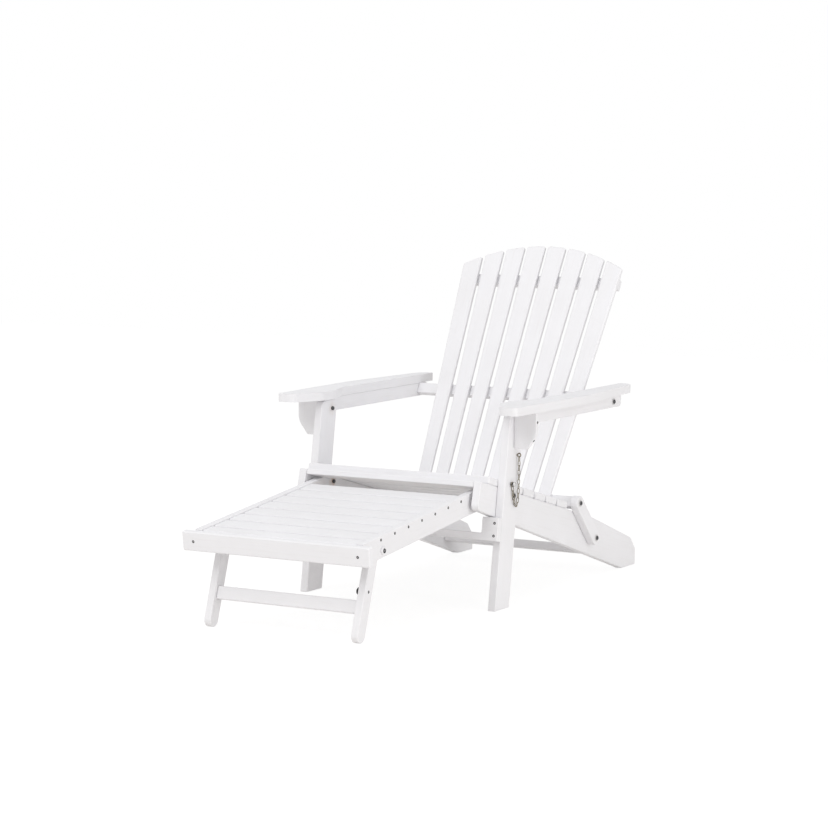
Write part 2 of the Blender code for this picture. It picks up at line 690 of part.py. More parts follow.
def make_footrest(tree):
    """The sliding frame: a rod in the stringers' grooves, two rails, slats and a fascia."""
    end = STRINGER_INNER + ROD_INTO_STRINGER
    rod = put("footrest_rod", turned("footrest_rod", dowel(ROD_RADIUS, 2 * end)), BARE_WOOD, tree["rod"],
              (-end, *ROD), TURNED_OUTWARD[1])
    spin(rod)
    half = FOOT_RAIL_HEIGHT / 2
    outline = rounded([
        (GAP - FOOT_REACH, -half),
        (FOOT_RAIL_TAIL, -half, FOOT_RAIL_ROUND),
        (FOOT_RAIL_TAIL, half, FOOT_RAIL_ROUND),
        (GAP - FOOT_REACH, half),
    ])
    panel = tree["footrest"]
    inner = FOOT_RAIL_OUTER - FOOT_RAIL_THICK
    layer = inner, FOOT_RAIL_OUTER
    for word, side in SIDES:
        rail = side_board("footrest_rail_" + word, outline, panel, side, *layer, ROD, FOOT_TILT)
        drill_through(rail, panel, side, *layer, (ROD,), ROD_RADIUS + BOLT_FIT)
        drill_through(rail, panel, side, *layer, (FOOT_LEG_PIVOT,), HOLE_RADIUS)
    first = FOOT_SLAT_FIRST - FOOT_SLAT_WIDTH / 2
    last = FOOT_REACH - FRONT_SLAT_ROOM - FRONT_SLAT_WIDTH
    for i in range(FOOT_SLATS):
        width = FRONT_SLAT_WIDTH if i == FOOT_SLATS - 1 else FOOT_SLAT_WIDTH
        reach = first + (last - first) * i / (FOOT_SLATS - 1) + width / 2
        place = on_panel(reach, half - FOOT_SLAT_DROP - FOOT_SLAT_THICK)
        cross_piece("footrest_slat_" + str(i + 1), 2 * (inner - GAP), width, FOOT_SLAT_THICK,
                    panel, place, FOOT_TILT, 2 * EDGE)
    cross_piece("footrest_fascia", 2 * FASCIA_HALF, FASCIA_HEIGHT, FASCIA_THICK,
                panel, on_panel(FOOT_REACH, 0.0), math.pi / 2 + FOOT_TILT, 2 * EDGE)


def on_foot_leg(height):
    """The point of the footrest leg's middle line at a height above the floor."""
    return FOOT_LEG_PIVOT + FOOT_LEG_DOWN * ((FOOT_LEG_PIVOT.y - height) / math.cos(FOOT_LEG_SPLAY))


def make_foot_legs(tree):
    """Folding legs inside the footrest's rails, each with its pivot bolt, and the bar between them."""
    radius = FOOT_LEG_WIDTH / 2
    length = (FOOT_LEG_PIVOT.y - radius) / math.cos(FOOT_LEG_SPLAY)
    outline = stadium(FOOT_LEG_PIVOT, FOOT_LEG_PIVOT + FOOT_LEG_DOWN * length, radius, 13)
    outer = FOOT_RAIL_OUTER - FOOT_RAIL_THICK - GAP
    inner = outer - FOOT_LEG_THICK
    middle = (inner + outer) / 2
    feet = tree["foot_legs"]
    for word, side in SIDES:
        name = "footrest_leg_" + word
        leg = side_board(name, outline, feet, side, inner, outer)
        join(leg, bolt(name + " pivot", feet, side, middle, FOOT_RAIL_OUTER, FOOT_LEG_PIVOT, with_nut=False))
        if side == 1:
            catch = on_foot_leg(CATCH_UP)
            tip = CATCH_LENGTH - inner
            join(leg, bolt(name + " catch", feet, -side, -middle, tip, catch, with_nut=False))
    place = on_foot_leg(FOOT_BAR_UP) - along(math.pi - FOOT_LEG_SPLAY, FOOT_BAR_THICK / 2)
    cross_piece("footrest_leg_bar", 2 * (inner - GAP), FOOT_BAR_HEIGHT, FOOT_BAR_THICK,
                feet, place, math.pi / 2 - FOOT_LEG_SPLAY)


def circle(centre, first, second, radius, count):
    """Points of a circle in the plane of two directions, starting at the first."""
    angles = (2 * math.pi * k / count for k in range(count))
    return [centre + (first * math.cos(a) + second * math.sin(a)) * radius for a in angles]


def wire_loop(shape, centres, normal, radius, sides):
    """Adds a closed ring of wire through the centres to a bmesh. The normal is square to the ring."""
    count = len(centres)
    rings = []
    for i, centre in enumerate(centres):
        run = (centres[(i + 1) % count] - centres[i - 1]).normalized()
        out = run.cross(normal).normalized()
        ring = circle(centre, out, normal, radius, sides)
        rings.append([shape.verts.new(point) for point in ring])
    for i in range(count):
        here, there = rings[i], rings[(i + 1) % count]
        for k in range(sides):
            shape.faces.new((here[k], here[(k + 1) % sides], there[(k + 1) % sides], there[k]))


def link_points(centre, run, across, pitch):
    """The middle line of one chain link: two straights and two half turns of three steps."""
    bend = CHAIN_INNER_WIDTH / 2 + CHAIN_WIRE
    straight = (pitch - CHAIN_BITE) / 2 + CHAIN_WIRE - bend
    points = []
    for way in (1, -1):
        for k in range(4):
            a = math.pi * k / 3
            step = run * (straight + bend * math.sin(a)) + across * (bend * math.cos(a))
            points.append(centre + step * way)
    return points


def pin_ring():
    """Middle of the ring that hangs over the pin."""
    pin = on_leg(PIN_UP, PIN_ACROSS)
    return Vector((LEG_SPREAD + PIN_STANDOFF / 2, pin.x, pin.y + PIN_RADIUS + GAP + CHAIN_WIRE - CHAIN_RING))


def chain_route():
    """Closely set points along the hanging chain, from the eye to the pin's ring."""
    out = LEG_SPREAD + EYE_STANDOFF + EYE_RADIUS
    eye = on_leg(EYE_UP, EYE_ACROSS)
    start = Vector((out, eye.x, eye.y - EYE_RADIUS + EYE_WIRE - CHAIN_BITE / 2))
    end = pin_ring() - Vector((0, 0, CHAIN_RING - CHAIN_WIRE + CHAIN_BITE / 2))
    pull_start, pull_end = start.copy(), end.copy()
    for pull in (pull_start, pull_end):
        pull.z = CHAIN_LOW_Z - (pull.z - CHAIN_LOW_Z) / 3
    pull_end.y += (start.y - end.y) * CHAIN_SLANT
    return interpolate_bezier(start, pull_start, pull_end, end, ROUTE_STEPS)


def chain_stations():
    """The links' pitch, and each one's middle and direction, spaced evenly along the route."""
    route = chain_route()
    reach = [0.0]
    for a, b in zip(route, route[1:]):
        reach.append(reach[-1] + (b - a).length)
    pitch = reach[-1] / CHAIN_LINKS
    stations = []
    for i in range(CHAIN_LINKS):
        wanted = pitch * (i + 0.5)
        k = next(j for j, far in enumerate(reach) if far >= wanted)
        share = (wanted - reach[k - 1]) / (reach[k] - reach[k - 1])
        stations.append((route[k - 1].lerp(route[k], share), (route[k] - route[k - 1]).normalized()))
    return pitch, stations


def make_lock(tree):
    """The lock pin in the right leg."""
    inner, face = LEG_INNER + GAP, LEG_SPREAD
    spot = on_leg(PIN_UP, PIN_ACROSS)
    length = face + PIN_STANDOFF + PIN_HEAD - inner
    shoulder = length - PIN_HEAD
    pin = put("lock_pin", turned("lock_pin", [
        (0.0, length), (PIN_HEAD_RADIUS - PIN_CHAMFER, length), (PIN_HEAD_RADIUS, length - PIN_CHAMFER),
        (PIN_HEAD_RADIUS, shoulder), (PIN_RADIUS, shoulder), (PIN_RADIUS, PIN_CHAMFER),
        (PIN_RADIUS - PIN_CHAMFER, 0.0), (0.0, 0.0),
    ]), DULL_ZINC, tree["pin"], (inner, *spot), TURNED_OUTWARD[1])
    spin(pin)


def make_chain(tree):
    """The chain from its screw eye to the pin's ring, with links that sink a little into each other."""
    across, back, up = Vector((1, 0, 0)), Vector((0, 1, 0)), Vector((0, 0, 1))
    halves = [bmesh.new(), bmesh.new()]
    pitch, stations = chain_stations()
    for i, (centre, run) in enumerate(stations):
        level = run.cross(across).normalized()
        outward = run.cross(level).normalized()
        breadth, normal = (outward, level) if i % 2 else (level, outward)
        points = link_points(centre, run, breadth, pitch)
        wire_loop(halves[i % 2], points, normal, CHAIN_WIRE, CHAIN_WIRE_SIDES)
    ring = circle(pin_ring(), back, up, CHAIN_RING, RING_STEPS)
    wire_loop(halves[CHAIN_LINKS % 2], ring, across, CHAIN_WIRE, CHAIN_WIRE_SIDES)
    spot = on_leg(EYE_UP, EYE_ACROSS)
    middle = Vector((LEG_SPREAD + EYE_STANDOFF + EYE_RADIUS, *spot))
    wire_loop(halves[1], circle(middle, across, up, EYE_RADIUS, RING_STEPS), back, EYE_WIRE, EYE_WIRE_SIDES)
    chain, other = [put(name, mesh_of(name, half), BRASSED_STEEL, tree["legs"], (0.0, 0.0, 0.0))
                    for name, half in zip(("safety_chain", "safety_chain other links"), halves)]
    join(chain, other)
    name = "safety_chain eye shank"
    shank = put(name, turned(name, dowel(EYE_WIRE, EYE_SHANK + EYE_STANDOFF)), BRASSED_STEEL, tree["legs"],
                (LEG_SPREAD - EYE_SHANK, *spot), TURNED_OUTWARD[1])
    spin(shank, SHANK_STEPS)
    join(chain, shank)


def make_chair():
    clear_scene()
    tree = make_pivots()
    make_stringers(tree)
    make_seat(tree)
    make_front_legs(tree)
    make_arms(tree)
    make_links(tree)
    make_back(tree)
    make_footrest(tree)
    make_foot_legs(tree)
    make_lock(tree)
    make_chain(tree)


make_chair()
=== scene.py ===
import math

import bmesh
import bpy
from mathutils import Matrix, Vector
from mathutils.geometry import interpolate_bezier


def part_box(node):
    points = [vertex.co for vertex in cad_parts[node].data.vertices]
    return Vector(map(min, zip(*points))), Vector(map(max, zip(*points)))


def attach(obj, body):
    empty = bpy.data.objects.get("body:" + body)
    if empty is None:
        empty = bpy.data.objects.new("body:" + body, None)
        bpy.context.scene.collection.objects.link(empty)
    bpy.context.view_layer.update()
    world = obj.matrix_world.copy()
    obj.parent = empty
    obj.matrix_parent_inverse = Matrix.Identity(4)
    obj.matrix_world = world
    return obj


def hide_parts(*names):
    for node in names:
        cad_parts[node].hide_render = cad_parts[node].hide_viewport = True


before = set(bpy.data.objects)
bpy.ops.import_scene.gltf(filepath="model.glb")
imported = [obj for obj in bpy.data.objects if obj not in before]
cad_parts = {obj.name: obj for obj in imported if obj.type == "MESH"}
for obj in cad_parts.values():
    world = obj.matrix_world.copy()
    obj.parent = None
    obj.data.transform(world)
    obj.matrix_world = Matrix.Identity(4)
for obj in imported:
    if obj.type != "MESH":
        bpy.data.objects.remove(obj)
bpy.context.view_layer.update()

# Camera
# A long lens stands off to the chair's right, a little above seat height, and looks almost
# level across it. The picture is square, 828 points a side.
picture_side = 828
film_side = 36.0
focal_points = 2769.5
view_turn = math.radians(30.28)
view_drop = math.radians(6.23)
view_roll = math.radians(-0.08)
view_spot = (3.6908, -6.3729, 1.2897)
lens = bpy.data.cameras.new("camera")
lens.sensor_width = film_side
lens.lens = film_side * focal_points / picture_side
camera = bpy.data.objects.new("camera", lens)
camera.rotation_euler = (math.pi / 2 - view_drop, view_roll, view_turn)
camera.location = view_spot
bpy.context.scene.collection.objects.link(camera)
bpy.context.scene.camera = camera

# Stringers
# The two sloping sides of the seat are sawn from 22 mm softwood with rounded noses, and run down
# to the floor as rear feet. They are brushed with white satin paint that lets the grain show.
fresh_paint = (0.850, 0.845, 0.866, 1.0)
thin_paint = (0.828, 0.821, 0.838, 1.0)
grain_shade = (0.960, 0.953, 0.947, 1.0)
# The edge tone stands for paint rubbed thin and for painted shade along edges and creases.
rubbed_and_shaded_edge = (0.755, 0.735, 0.715, 1.0)
bared_wood = (0.640, 0.440, 0.310, 1.0)
paint_roughness = (0.44, 0.60)
paint_relief = 0.22
relief_depth = 0.0005
grain_lift = 0.7
edge_reach = 0.0022
rub_core = 0.35
seat_slope = math.radians(15.1)
down_the_seat = Vector((0.0, math.cos(seat_slope), -math.sin(seat_slope)))
both_sides = {"left": -1, "right": 1}


def add_node(tree, kind, inputs=(), **settings):
    """A shader node whose inputs are set to values or linked to other nodes' outputs."""
    node = tree.nodes.new("ShaderNode" + kind)
    for key, value in settings.items():
        setattr(node, key, value)
    for key, value in dict(inputs).items():
        if isinstance(value, bpy.types.NodeSocket):
            tree.links.new(value, node.inputs[key])
        else:
            node.inputs[key].default_value = value
    return node


def blended(tree, share, first, second, way="MIX"):
    """Two colours mixed, or one multiplied into the other, by a share."""
    inputs = {0: share, 6: first, 7: second}
    return add_node(tree, "Mix", inputs, data_type="RGBA", blend_type=way).outputs[2]


def ranged(tree, value, start, end, low=0.0, high=1.0):
    """A value spread from one range over another, and held inside it."""
    inputs = {"Value": value, "From Min": start, "From Max": end, "To Min": low, "To Max": high}
    return add_node(tree, "MapRange", inputs).outputs[0]


def reckoned(tree, way, first, second):
    """Two values put together by one step of arithmetic."""
    return add_node(tree, "Math", {0: first, 1: second}, operation=way).outputs[0]


def fresh_material(name):
    """A new material, with its node tree and its shader."""
    material = bpy.data.materials.new(name)
    material.use_nodes = True
    tree = material.node_tree
    return material, tree, tree.nodes["Principled BSDF"]


def along_board(tree, run, seed):
    """Coordinates that lie along a board, shifted so that no two boards share their grain."""
    turn = run.rotation_difference(Vector((1.0, 0.0, 0.0))).to_euler()
    shift = (0.37 * seed, 0.61 * seed, 0.23 * seed)
    place = add_node(tree, "TexCoord").outputs["Object"]
    inputs = {"Vector": place, "Rotation": turn, "Location": shift}
    return place, add_node(tree, "Mapping", inputs).outputs[0]


def streaks(tree, board, stretch, scale, detail):
    """Noise drawn out along the board."""
    drawn = add_node(tree, "Mapping", {"Vector": board, "Scale": (stretch, 1.0, 1.0)}).outputs[0]
    inputs = {"Vector": drawn, "Scale": scale, "Detail": detail,
              "Roughness": 0.62, "Distortion": 0.3}
    return add_node(tree, "TexNoise", inputs).outputs[0]


def cloud(tree, place, scale, detail=3.0):
    """Noise that is alike in every direction."""
    inputs = {"Vector": place, "Scale": scale, "Detail": detail}
    return add_node(tree, "TexNoise", inputs).outputs[0]


def edge_share(tree, softened, start=0.985, end=0.86):
    """How near an edge a point is: the softened normal leans away from the face's own there."""
    normal = add_node(tree, "NewGeometry").outputs["Normal"]
    inputs = {0: softened, 1: normal}
    lean = add_node(tree, "VectorMath", inputs, operation="DOT_PRODUCT").outputs["Value"]
    return ranged(tree, lean, start, end)


def painted_wood(name, run, seed, bared=()):
    """White satin paint over planed softwood whose grain runs one way. Bared is a list of pivots,
    (y, z, radius, share), round which the paint has been rubbed through."""
    material, tree, shader = fresh_material(name)
    place, board = along_board(tree, run, seed)
    grain = streaks(tree, board, stretch=0.040, scale=240.0, detail=5.0)
    brushing = streaks(tree, board, stretch=0.010, scale=900.0, detail=2.0)
    drift = cloud(tree, board, scale=7.0)
    patches = cloud(tree, board, scale=65.0, detail=4.0)
    softened = add_node(tree, "Bevel", {"Radius": edge_reach}, samples=4).outputs[0]
    tone = blended(tree, ranged(tree, drift, 0.30, 0.70), fresh_paint, thin_paint)
    tone = blended(tree, ranged(tree, grain, 0.52, 0.80), tone, grain_shade, "MULTIPLY")
    # Near edges and creases the tone darkens: partly rubbed paint, partly painted shade.
    edge_wear_and_shade = reckoned(tree, "MULTIPLY", edge_share(tree, softened), ranged(tree, patches, 0.52, 0.72))
    tone = blended(tree, edge_wear_and_shade, tone, rubbed_and_shaded_edge)
    for y, z, radius, share in bared:
        inputs = {0: place, 1: (0.0, y, z)}
        away = add_node(tree, "VectorMath", inputs, operation="SUBTRACT").outputs[0]
        inputs = {0: away, 1: (0.0, 1.0, 1.0)}
        away = add_node(tree, "VectorMath", inputs, operation="MULTIPLY").outputs[0]
        away = add_node(tree, "VectorMath", {0: away}, operation="LENGTH").outputs["Value"]
        near = ranged(tree, away, radius, rub_core * radius, 0.0, share)
        rubbed = reckoned(tree, "MULTIPLY", near, ranged(tree, patches, 0.30, 0.75))
        tone = blended(tree, rubbed, tone, bared_wood)
    tree.links.new(tone, shader.inputs["Base Color"])
    roughness = ranged(tree, drift, 0.30, 0.70, *paint_roughness)
    tree.links.new(roughness, shader.inputs["Roughness"])
    relief = reckoned(tree, "MULTIPLY_ADD", grain, grain_lift)
    tree.links.new(brushing, relief.node.inputs[2])
    inputs = {"Strength": paint_relief, "Distance": relief_depth, "Height": relief}
    tree.links.new(add_node(tree, "Bump", inputs).outputs[0], shader.inputs["Normal"])
    return material


def finish_node(name, material):
    """Gives a carried-over solid its material."""
    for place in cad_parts[name].material_slots:
        place.material = material


seat_pivot = (-0.0466, 0.2921)
for seed, word in enumerate(both_sides):
    bared = [(*seat_pivot, 0.024, 1.0)]
    paint = painted_wood("stringer_paint_" + word, down_the_seat, seed, bared)
    finish_node("stringer_" + word, paint)

# Seat slats, front rail and rear stretcher
# Seven slats lie across the stringers with open joints, a thinner rail closes the front below them
# and one stretcher ties the tails. All are planed strips with eased edges, painted white.
across = Vector((1.0, 0.0, 0.0))
seat_slat_count = 7
seat_slats = ["seat_slat_" + str(i + 1) for i in range(seat_slat_count)]
for i, name in enumerate(seat_slats + ["front_rail", "rear_stretcher"]):
    finish_node(name, painted_wood(name + "_paint", across, 10 + i))

# Front legs and cross board
# Two softwood boards lean back from the floor to the arms, rounded at the top. The cross board is
# screwed to their front edges, and cut down in the middle so that the footrest slides in over it.
leg_lean = math.radians(9.0)
up_the_leg = Vector((0.0, math.sin(leg_lean), math.cos(leg_lean)))
arm_pivot = (-0.0156, 0.4877)
for i, word in enumerate(both_sides):
    bared = [(*arm_pivot, 0.026, 0.22), (*seat_pivot, 0.022, 0.15)]
    finish_node("front_leg_" + word, painted_wood("leg_paint_" + word, up_the_leg, 20 + i, bared))
finish_node("cross_board", painted_wood("cross_board_paint", across, 22))

# Arm brackets
# A small curved softwood board is screwed to each leg's outer face, under the arm. Its grain is
# upright, its lower edge is sawn to a sweep, and it is painted with the leg.
upright = Vector((0.0, 0.0, 1.0))
for i, word in enumerate(both_sides):
    finish_node("arm_bracket_" + word, painted_wood("bracket_paint_" + word, upright, 24 + i))

# Arms and arm rails
# Flat shaped arms with eased edges lie on narrow rails, which turn on the legs' tops and carry the
# back. Both are softwood with the grain from front to rear, painted white.
rearward = Vector((0.0, 1.0, 0.0))
chair_middle_y = 0.145518
arm_plan = (  # out from the middle, back from the legs' feet, and the corner's radius
    (0.270, 0.074, 0.040), (0.316, -0.011, 0.030), (0.365, -0.011, 0.014), (0.378, 0.370, 0.800),
    (0.345, 0.720, 0.042), (0.3004, 0.727, 0.010), (0.3004, 0.215, 0.060), (0.270, 0.130, 0.040))
arm_ease = 0.0030
arc_step = math.radians(6.0)
fewest_steps = 4
crease = math.radians(32.0)
nearly_level = 0.999


def rounded_plan(corners):
    """An outline through corners, with each corner's radius as an arc."""
    points = []
    for i, (x, y, radius) in enumerate(corners):
        here = Vector((x, y))
        back = (Vector(corners[i - 1][:2]) - here).normalized()
        ahead = (Vector(corners[(i + 1) % len(corners)][:2]) - here).normalized()
        half = back.angle(ahead) / 2
        middle = here + (back + ahead).normalized() * (radius / math.sin(half))
        start = here + back * (radius / math.tan(half)) - middle
        turn = -start.angle_signed(here + ahead * (radius / math.tan(half)) - middle)
        count = max(fewest_steps, math.ceil(abs(turn) / arc_step))
        points += [middle + Matrix.Rotation(turn * k / count, 2) @ start for k in range(count + 1)]
    return points


def finished_piece(name, shape, materials, body):
    """The mesh as a smoothly shaded piece that rides on a body."""
    bmesh.ops.recalc_face_normals(shape, faces=shape.faces)
    mesh = bpy.data.meshes.new(name)
    shape.to_mesh(mesh)
    shape.free()
    mesh.shade_smooth()
    mesh.set_sharp_from_angle(angle=crease)
    for material in materials:
        mesh.materials.append(material)
    piece = bpy.data.objects.new(name, mesh)
    bpy.context.scene.collection.objects.link(piece)
    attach(piece, body)
    return piece


def sawn_board(plan, low, high, ease):
    """A board sawn to a plan, with its upper and lower edges eased."""
    shape = bmesh.new()
    under = [shape.verts.new((x, y, low)) for x, y in plan]
    over = [shape.verts.new((x, y, high)) for x, y in plan]
    rims = []
    for ring in (under, over):
        rims += shape.faces.new(ring).edges[:]
    for k in range(len(plan)):
        shape.faces.new((under[k - 1], under[k], over[k], over[k - 1]))
    bmesh.ops.bevel(shape, geom=rims, offset=ease, segments=3, profile=0.5, affect="EDGES")
    return shape


for i, (word, side) in enumerate(both_sides.items()):
    low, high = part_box("arm_" + word)
    plan = [(side * x, y - chair_middle_y) for x, y in rounded_plan(arm_plan)]
    paint = painted_wood("arm_paint_" + word, rearward, 30 + i)
    shape = sawn_board(plan, low[2], high[2], arm_ease)
    arm = finished_piece("shaped_arm_" + word, shape, [paint], "arms")
    for face in arm.data.polygons:  # the broad faces stay flat
        if abs(face.normal.z) > nearly_level:
            face.use_smooth = False
    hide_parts("arm_" + word)
    bared = [(*arm_pivot, 0.020, 0.15)]
    rail_paint = painted_wood("arm_rail_paint_" + word, rearward, 32 + i, bared)
    finish_node("arm_rail_" + word, rail_paint)

# Back links
# Short round-ended bars swing on the stringers and carry the foot of the back. They are cut from
# the same boards as the frame, painted white, and rubbed bare where they turn.
link_foot, link_head = Vector((0.0, 0.4405, 0.1160)), Vector((0.0, 0.3405, 0.2253))
for i, word in enumerate(both_sides):
    bared = [(link_foot.y, link_foot.z, 0.015, 0.3), (link_head.y, link_head.z, 0.015, 0.3)]
    paint = painted_wood("link_paint_" + word, link_head - link_foot, 36 + i, bared)
    finish_node("back_link_" + word, paint)

# Back slats and battens
# Eight tapered slats fan out from the seat to a crowned top. They are screwed from behind to three
# planed battens that lie across them, and the lowest one is hinged to the links. All painted white.
recline = math.radians(30.0)
up_the_back = Vector((0.0, math.sin(recline), math.cos(recline)))
behind_the_back = Vector((0.0, math.cos(recline), -math.sin(recline)))
back_slats = 8
slat_fan = 0.0140
for i in range(back_slats):
    run = up_the_back + across * (slat_fan * (i - (back_slats - 1) / 2))
    paint = painted_wood("back_slat_paint_" + str(i + 1), run, 40 + i)
    finish_node("back_slat_" + str(i + 1), paint)
back_battens = (  # name, place up the back, and how far the planed strip sits above that place
    ("upper_batten", 0.355, 0.0045), ("middle_batten", 0.0, 0.0045), ("lower_batten", -0.308, 0.0))
batten_width = 0.0310
batten_thick = 0.0200
batten_ease = 0.0015


def planed_strip(middle, length, width, thick, ease):
    """A strip that lies across the back, planed square with eased edges."""
    shape = bmesh.new()
    bmesh.ops.create_cube(shape, size=1.0)
    for vert in shape.verts:
        a, b, c = vert.co
        place = middle + across * (a * length) + up_the_back * (b * width)
        vert.co = place - behind_the_back * (c * thick)
    shape.normal_update()
    edges = shape.edges[:]
    bmesh.ops.bevel(shape, geom=edges, offset=ease, segments=2, profile=0.5, affect="EDGES")
    return shape


def middle_of(node):
    """The middle of a node's box."""
    low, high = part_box(node)
    return (Vector(low) + Vector(high)) / 2


for i, (name, up, lift) in enumerate(back_battens):
    paint = painted_wood(name + "_paint", across, 50 + i)
    if name == "lower_batten":
        finish_node(name, paint)
        continue
    low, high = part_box(name)
    middle = middle_of(name) + up_the_back * lift
    shape = planed_strip(middle, high[0] - low[0], batten_width, batten_thick, batten_ease)
    strip = finished_piece("planed_" + name, shape, [paint], "back")
    for face in strip.data.polygons:  # only the eased edges are rounded off
        face.use_smooth = face.area < batten_ease * high[0]
    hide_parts(name)

# Footrest frame
# Two softwood rails, eight slats between them and a fascia across the front slide out from under
# the seat. The slats are screwed through the rails, the fascia to their ends, and all is painted.
foot_tilt = math.radians(6.6)
along_the_footrest = Vector((0.0, math.cos(foot_tilt), math.sin(foot_tilt)))
for i, word in enumerate(both_sides):
    paint = painted_wood("footrest_rail_paint_" + word, along_the_footrest, 60 + i)
    finish_node("footrest_rail_" + word, paint)
foot_slat_count = 8
foot_slats = ["footrest_slat_" + str(i + 1) for i in range(foot_slat_count)]
for i, name in enumerate(foot_slats + ["footrest_fascia"]):
    finish_node(name, painted_wood(name + "_paint", across, 62 + i))

# Footrest rod
# A bare hardwood dowel joins the footrest's rails at the rear, and its ends slide in grooves in the
# stringers. It is left unpainted so that it runs freely.
pale_dowel = (0.640, 0.480, 0.315, 1.0)
dark_dowel = (0.440, 0.300, 0.180, 1.0)
dowel_roughness = (0.58, 0.74)
dowel_relief = 0.35
pore_depth = 0.0004


def bare_wood(name, run, seed):
    """Unpainted, close-grained hardwood."""
    material, tree, shader = fresh_material(name)
    board = along_board(tree, run, seed)[1]
    grain = streaks(tree, board, stretch=0.030, scale=420.0, detail=6.0)
    drift = cloud(tree, board, scale=18.0)
    tone = blended(tree, ranged(tree, grain, 0.35, 0.70), pale_dowel, dark_dowel)
    tone = blended(tree, ranged(tree, drift, 0.45, 0.80, 0.0, 0.45), tone, dark_dowel)
    tree.links.new(tone, shader.inputs["Base Color"])
    roughness = ranged(tree, grain, 0.35, 0.70, *dowel_roughness)
    tree.links.new(roughness, shader.inputs["Roughness"])
    inputs = {"Strength": dowel_relief, "Distance": pore_depth, "Height": grain}
    tree.links.new(add_node(tree, "Bump", inputs).outputs[0], shader.inputs["Normal"])
    return material


finish_node("footrest_rod", bare_wood("dowel_wood", across, 71))

# Footrest legs and their bar
# Two round-ended legs fold between the footrest's rails on their own bolts, with a bar let in
# between them. They are cut from 20 mm boards and painted white.
leg_splay = math.radians(18.0)
down_the_foot_leg = Vector((0.0, -math.sin(leg_splay), -math.cos(leg_splay)))
for i, word in enumerate(both_sides):
    paint = painted_wood("footrest_leg_paint_" + word, down_the_foot_leg, 74 + i)
    finish_node("footrest_leg_" + word, paint)
finish_node("footrest_leg_bar", painted_wood("footrest_bar_paint", across, 76))

# Pivot bolts
# Each pivot is a small domed bolt with a six-sided socket on a broad washer, and most have a nut on
# the inner face. The bolts are dark zinc, rubbed bright on the edges, and the washers pale zinc.
zinc_light = (0.120, 0.120, 0.125, 1.0)
zinc_dark = (0.045, 0.044, 0.045, 1.0)
zinc_bright = (0.380, 0.380, 0.390, 1.0)
washer_light = (0.720, 0.715, 0.710, 1.0)
washer_dark = (0.520, 0.510, 0.500, 1.0)
washer_bright = (0.800, 0.795, 0.790, 1.0)
metal_share = 0.9
metal_edge_reach = 0.0006
scratch_relief = 0.12
scratch_depth = 0.0002
washer_radius = 0.0095
washer_thick = 0.0012
washer_ease = 0.0003
head_radius = 0.0060
head_rise = 0.0033
head_rim = 0.16
dome_sweep = 0.78
dome_steps = 6
shank_radius = 0.0040
shank_tip = 0.75
nut_flat = 0.0050
nut_height = 0.0055
nut_round = 0.92
nut_ease = 0.0008
socket_flat = 0.0027
socket_flare = 1.12
socket_lip = 0.0004
socket_depth = 0.0028
drill_point = 0.0006
turning_steps = 24


def dull_metal(name, light, dark, bright, roughness, seed):
    """Plated steel with cloudy tarnish, fine scratches and brighter edges."""
    material, tree, shader = fresh_material(name)
    board = along_board(tree, across, seed)[1]
    tarnish = cloud(tree, board, scale=240.0, detail=4.0)
    scratches = streaks(tree, board, stretch=0.08, scale=2600.0, detail=2.0)
    softened = add_node(tree, "Bevel", {"Radius": metal_edge_reach}, samples=4).outputs[0]
    tone = blended(tree, ranged(tree, tarnish, 0.35, 0.68), light, dark)
    rubbed = reckoned(tree, "MULTIPLY", edge_share(tree, softened), tarnish)
    tone = blended(tree, rubbed, tone, bright)
    tree.links.new(tone, shader.inputs["Base Color"])
    shader.inputs["Metallic"].default_value = metal_share
    spread = ranged(tree, tarnish, 0.30, 0.70, roughness - 0.08, roughness + 0.10)
    tree.links.new(spread, shader.inputs["Roughness"])
    inputs = {"Strength": scratch_relief, "Distance": scratch_depth,
              "Height": scratches, "Normal": softened}
    tree.links.new(add_node(tree, "Bump", inputs).outputs[0], shader.inputs["Normal"])
    return material


def six_sided(flat):
    """The reach of a six-sided bar at each angle, from its half width across the flats."""
    return lambda angle: flat / math.cos(angle % (math.pi / 3) - math.pi / 6)


def turn_on_lathe(shape, start, outward, profile):
    """Adds a closed turned body to a mesh. The profile is (reach, height) from the start outward,
    and a reach may change with the angle."""
    first = outward.orthogonal().normalized()
    second = outward.cross(first)
    rings = []
    for reach, height in profile:
        ring = []
        for k in range(turning_steps):
            angle = 2 * math.pi * k / turning_steps
            radius = reach(angle) if callable(reach) else reach
            step = first * math.cos(angle) + second * math.sin(angle)
            ring.append(shape.verts.new(start + outward * height + step * radius))
        rings.append(ring)
    for here, there in zip(rings, rings[1:]):
        for k in range(turning_steps):
            after = (k + 1) % turning_steps
            shape.faces.new((here[k], here[after], there[after], there[k]))
    shape.faces.new(rings[0][::-1])
    shape.faces.new(rings[-1])


def domed_head(base, radius=head_radius, rise=head_rise):
    """The profile of a domed head with its socket, above a height."""
    profile = [(radius, base), (radius, base + head_rim * rise)]
    for k in range(1, dome_steps):
        angle = math.pi / 2 * k / dome_steps
        height = base + rise * (head_rim + (1 - head_rim) * math.sin(angle))
        profile.append((radius * math.cos(angle * dome_sweep), height))
    top = base + rise
    return profile + [
        (six_sided(socket_flat * socket_flare), top), (six_sided(socket_flat), top - socket_lip),
        (six_sided(socket_flat), top - socket_depth),
        (drill_point, top - socket_depth - drill_point),
    ]


def turn_in_second(shape, start, outward, profile):
    """Adds a closed turned body to a mesh, as faces of its second material."""
    before = len(shape.faces)
    turn_on_lathe(shape, start, outward, profile)
    shape.faces.ensure_lookup_table()
    for face in shape.faces[before:]:
        face.material_index = 1


